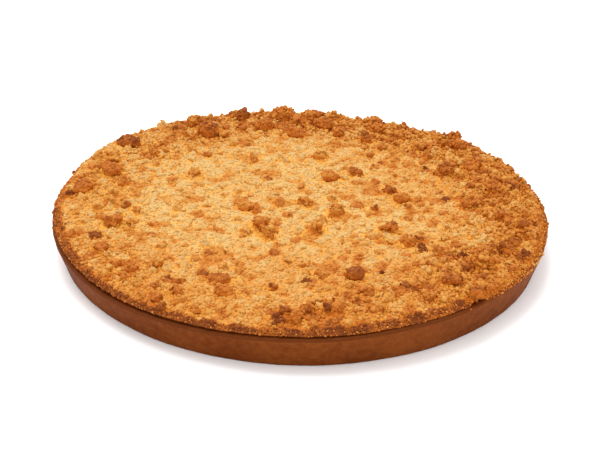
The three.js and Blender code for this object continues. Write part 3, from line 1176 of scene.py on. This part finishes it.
# The two kinds of crumb in the scorched band, as above, with how browned each is
RIM_KINDS = {
    "rim_crumbs": {
        "spacing": 1.05, "smallest": 0.8, "largest": 1.9, "sunk": 0.36, "facets": 1,
        "unevenness": 0.7, "flatness": 0.85, "browning_spread": 0.5, "browning": 0.98,
        "seed_step": 900,
    },
    "rim_specks": {
        "spacing": 3.0, "smallest": 0.7, "largest": 1.2, "sunk": 0.2, "facets": 1,
        "unevenness": 0.7, "flatness": 0.85, "browning_spread": 0.2, "browning": 0.45,
        "seed_step": 901,
    },
}


class TART_OT_rim_crumbs(Operator):
    """The fine crumbs between the topping and the crust's edge, most of them scorched."""

    bl_idname = "tart.rim_crumbs"
    bl_label = "Rim Crumbs"

    def execute(self, context):
        edge = {"crumble_bed": 1.0, "pastry_crust": 0.0}
        mesh = upper_sides(edge, steepest=-0.2, lowest=SHOULDER + 0.2)
        x, y = in_plan(places_of(mesh))
        radius = np.hypot(x, y)
        scorching = scorching_at(x, y)
        on_bed = numbers_of(mesh, "share") * clamp01((radius - band_start(x, y)) / 1.5)
        on_crown = 1.2 * clamp01((radius - BED_EDGE) / 0.3) * (0.9 - scorching)
        keep(mesh, "share", clamp01(on_bed + on_crown))
        for name, kind in RIM_KINDS.items():
            browning = 0.5 + (kind["browning"] - 0.5) * scorching
            keep(mesh, "browning", browning + 0.2 * (patchy(x, y, 9) - 0.5))
            crumbs_from(name, mesh, kind, 0.0)
        return {"FINISHED"}


class TART_OT_depths(Operator):
    """How deep each point of the topping lies among the crumbs, for the painted bounce light and
    shade in its colour.
    """

    bl_idname = "tart.depths"
    bl_label = "Depths"

    def execute(self, context):
        lumps = ["baked_" + name for name in LUMP_NODES]
        heaped = ("crumble_bed", *CRUMB_KINDS, "browned_clumps", *RIM_KINDS, *lumps)
        keep_rise([bpy.data.objects[name] for name in heaped])
        return {"FINISHED"}


class TART_OT_stage(Operator):
    """The floor, the lights and the camera."""

    bl_idname = "tart.stage"
    bl_label = "Stage"

    def execute(self, context):
        settings = context.scene.tart_stage
        self.make_floor(context, settings)
        self.make_lights(context, settings)
        self.make_camera(context, settings)
        return {"FINISHED"}

    def make_floor(self, context, settings):
        reach = 6.0
        corners = [(-reach, -reach, 0), (reach, -reach, 0), (reach, reach, 0), (-reach, reach, 0)]
        floor = bpy.data.objects.new("floor", to_mesh("floor", corners, [(0, 1, 2, 3)]))
        context.scene.collection.objects.link(floor)
        _, shader = new_material("Floor", settings.floor)
        shader.inputs["Base Color"].default_value = (*settings.floor, 1.0)
        shader.inputs["Roughness"].default_value = 0.9
        shader.inputs["Specular IOR Level"].default_value = 0.0
        floor.data.materials.append(bpy.data.materials["Floor"])

    def make_lights(self, context, settings):
        world = bpy.data.worlds.new("Studio")
        world.use_nodes = True
        sky = world.node_tree.nodes["Background"]
        sky.inputs["Color"].default_value = (1, 1, 1, 1)
        sky.inputs["Strength"].default_value = settings.fill
        context.scene.world = world
        key = bpy.data.lights.new("key", "SUN")
        key.energy = settings.key
        key.angle = math.radians(35)
        lamp = bpy.data.objects.new("key", key)
        lamp.rotation_euler = (math.radians(-18), math.radians(-14), 0)
        context.scene.collection.objects.link(lamp)

    def make_camera(self, context, settings):
        """The camera, at the photograph's viewing angle."""
        distance = 881.5 * MM
        elevation = math.radians(27.72)
        roll = math.radians(1.233)
        aim = Vector((-0.12, 17.1, 0)) * MM
        camera = bpy.data.cameras.new("camera")
        camera.lens = settings.lens
        camera.sensor_width = 36
        camera.clip_end = 30
        back = Vector((0, -math.cos(elevation), math.sin(elevation)))
        right = Vector((1, 0, 0))
        up = back.cross(right)
        turned_right = math.cos(roll) * right + math.sin(roll) * up
        turned_up = math.cos(roll) * up - math.sin(roll) * right
        holder = bpy.data.objects.new("camera", camera)
        axes = Matrix((turned_right, turned_up, back)).transposed()
        holder.matrix_world = Matrix.Translation(aim + distance * back) @ axes.to_4x4()
        context.scene.collection.objects.link(holder)
        context.scene.camera = holder
        context.scene.view_settings.view_transform = "Standard"


class TART_PT_panel(Panel):
    """Lists the operators and the settings that they use."""

    bl_label = "Crumble Tart"
    bl_space_type = "VIEW_3D"
    bl_region_type = "UI"
    bl_category = "Tart"

    def draw(self, context):
        for group in SETTINGS:
            settings = getattr(context.scene, group)
            box = self.layout.box()
            box.label(text=group.removeprefix("tart_").title())
            for name in settings.bl_rna.properties.keys():
                if name not in ("rna_type", "name"):
                    box.prop(settings, name)
        for operator in OPERATORS:
            self.layout.operator(operator.bl_idname)


OPERATORS = (
    TART_OT_crust,
    TART_OT_bed,
    TART_OT_coarse_crumbs,
    TART_OT_clumps,
    TART_OT_lumps,
    TART_OT_crumbs,
    TART_OT_rim_crumbs,
    TART_OT_depths,
    TART_OT_stage,
)
SETTINGS = {
    "tart_crust": CrustSettings,
    "tart_crumble": CrumbleSettings,
    "tart_stage": StageSettings,
}


def register():
    for item in (*SETTINGS.values(), *OPERATORS, TART_PT_panel):
        bpy.utils.register_class(item)
    for name, group in SETTINGS.items():
        setattr(bpy.types.Scene, name, PointerProperty(type=group))


def unregister():
    for name in SETTINGS:
        delattr(bpy.types.Scene, name)
    for item in reversed((*SETTINGS.values(), *OPERATORS, TART_PT_panel)):
        bpy.utils.unregister_class(item)


def main():
    register()
    crumble_material(bpy.context.scene.tart_crumble, baked_dough())
    bpy.ops.tart.crust()
    bpy.ops.tart.bed()
    bpy.ops.tart.coarse_crumbs()
    bpy.ops.tart.clumps()
    bpy.ops.tart.lumps()
    bpy.ops.tart.crumbs()
    bpy.ops.tart.rim_crumbs()
    bpy.ops.tart.depths()
    bpy.ops.tart.stage()


if __name__ == "__main__":
    main()
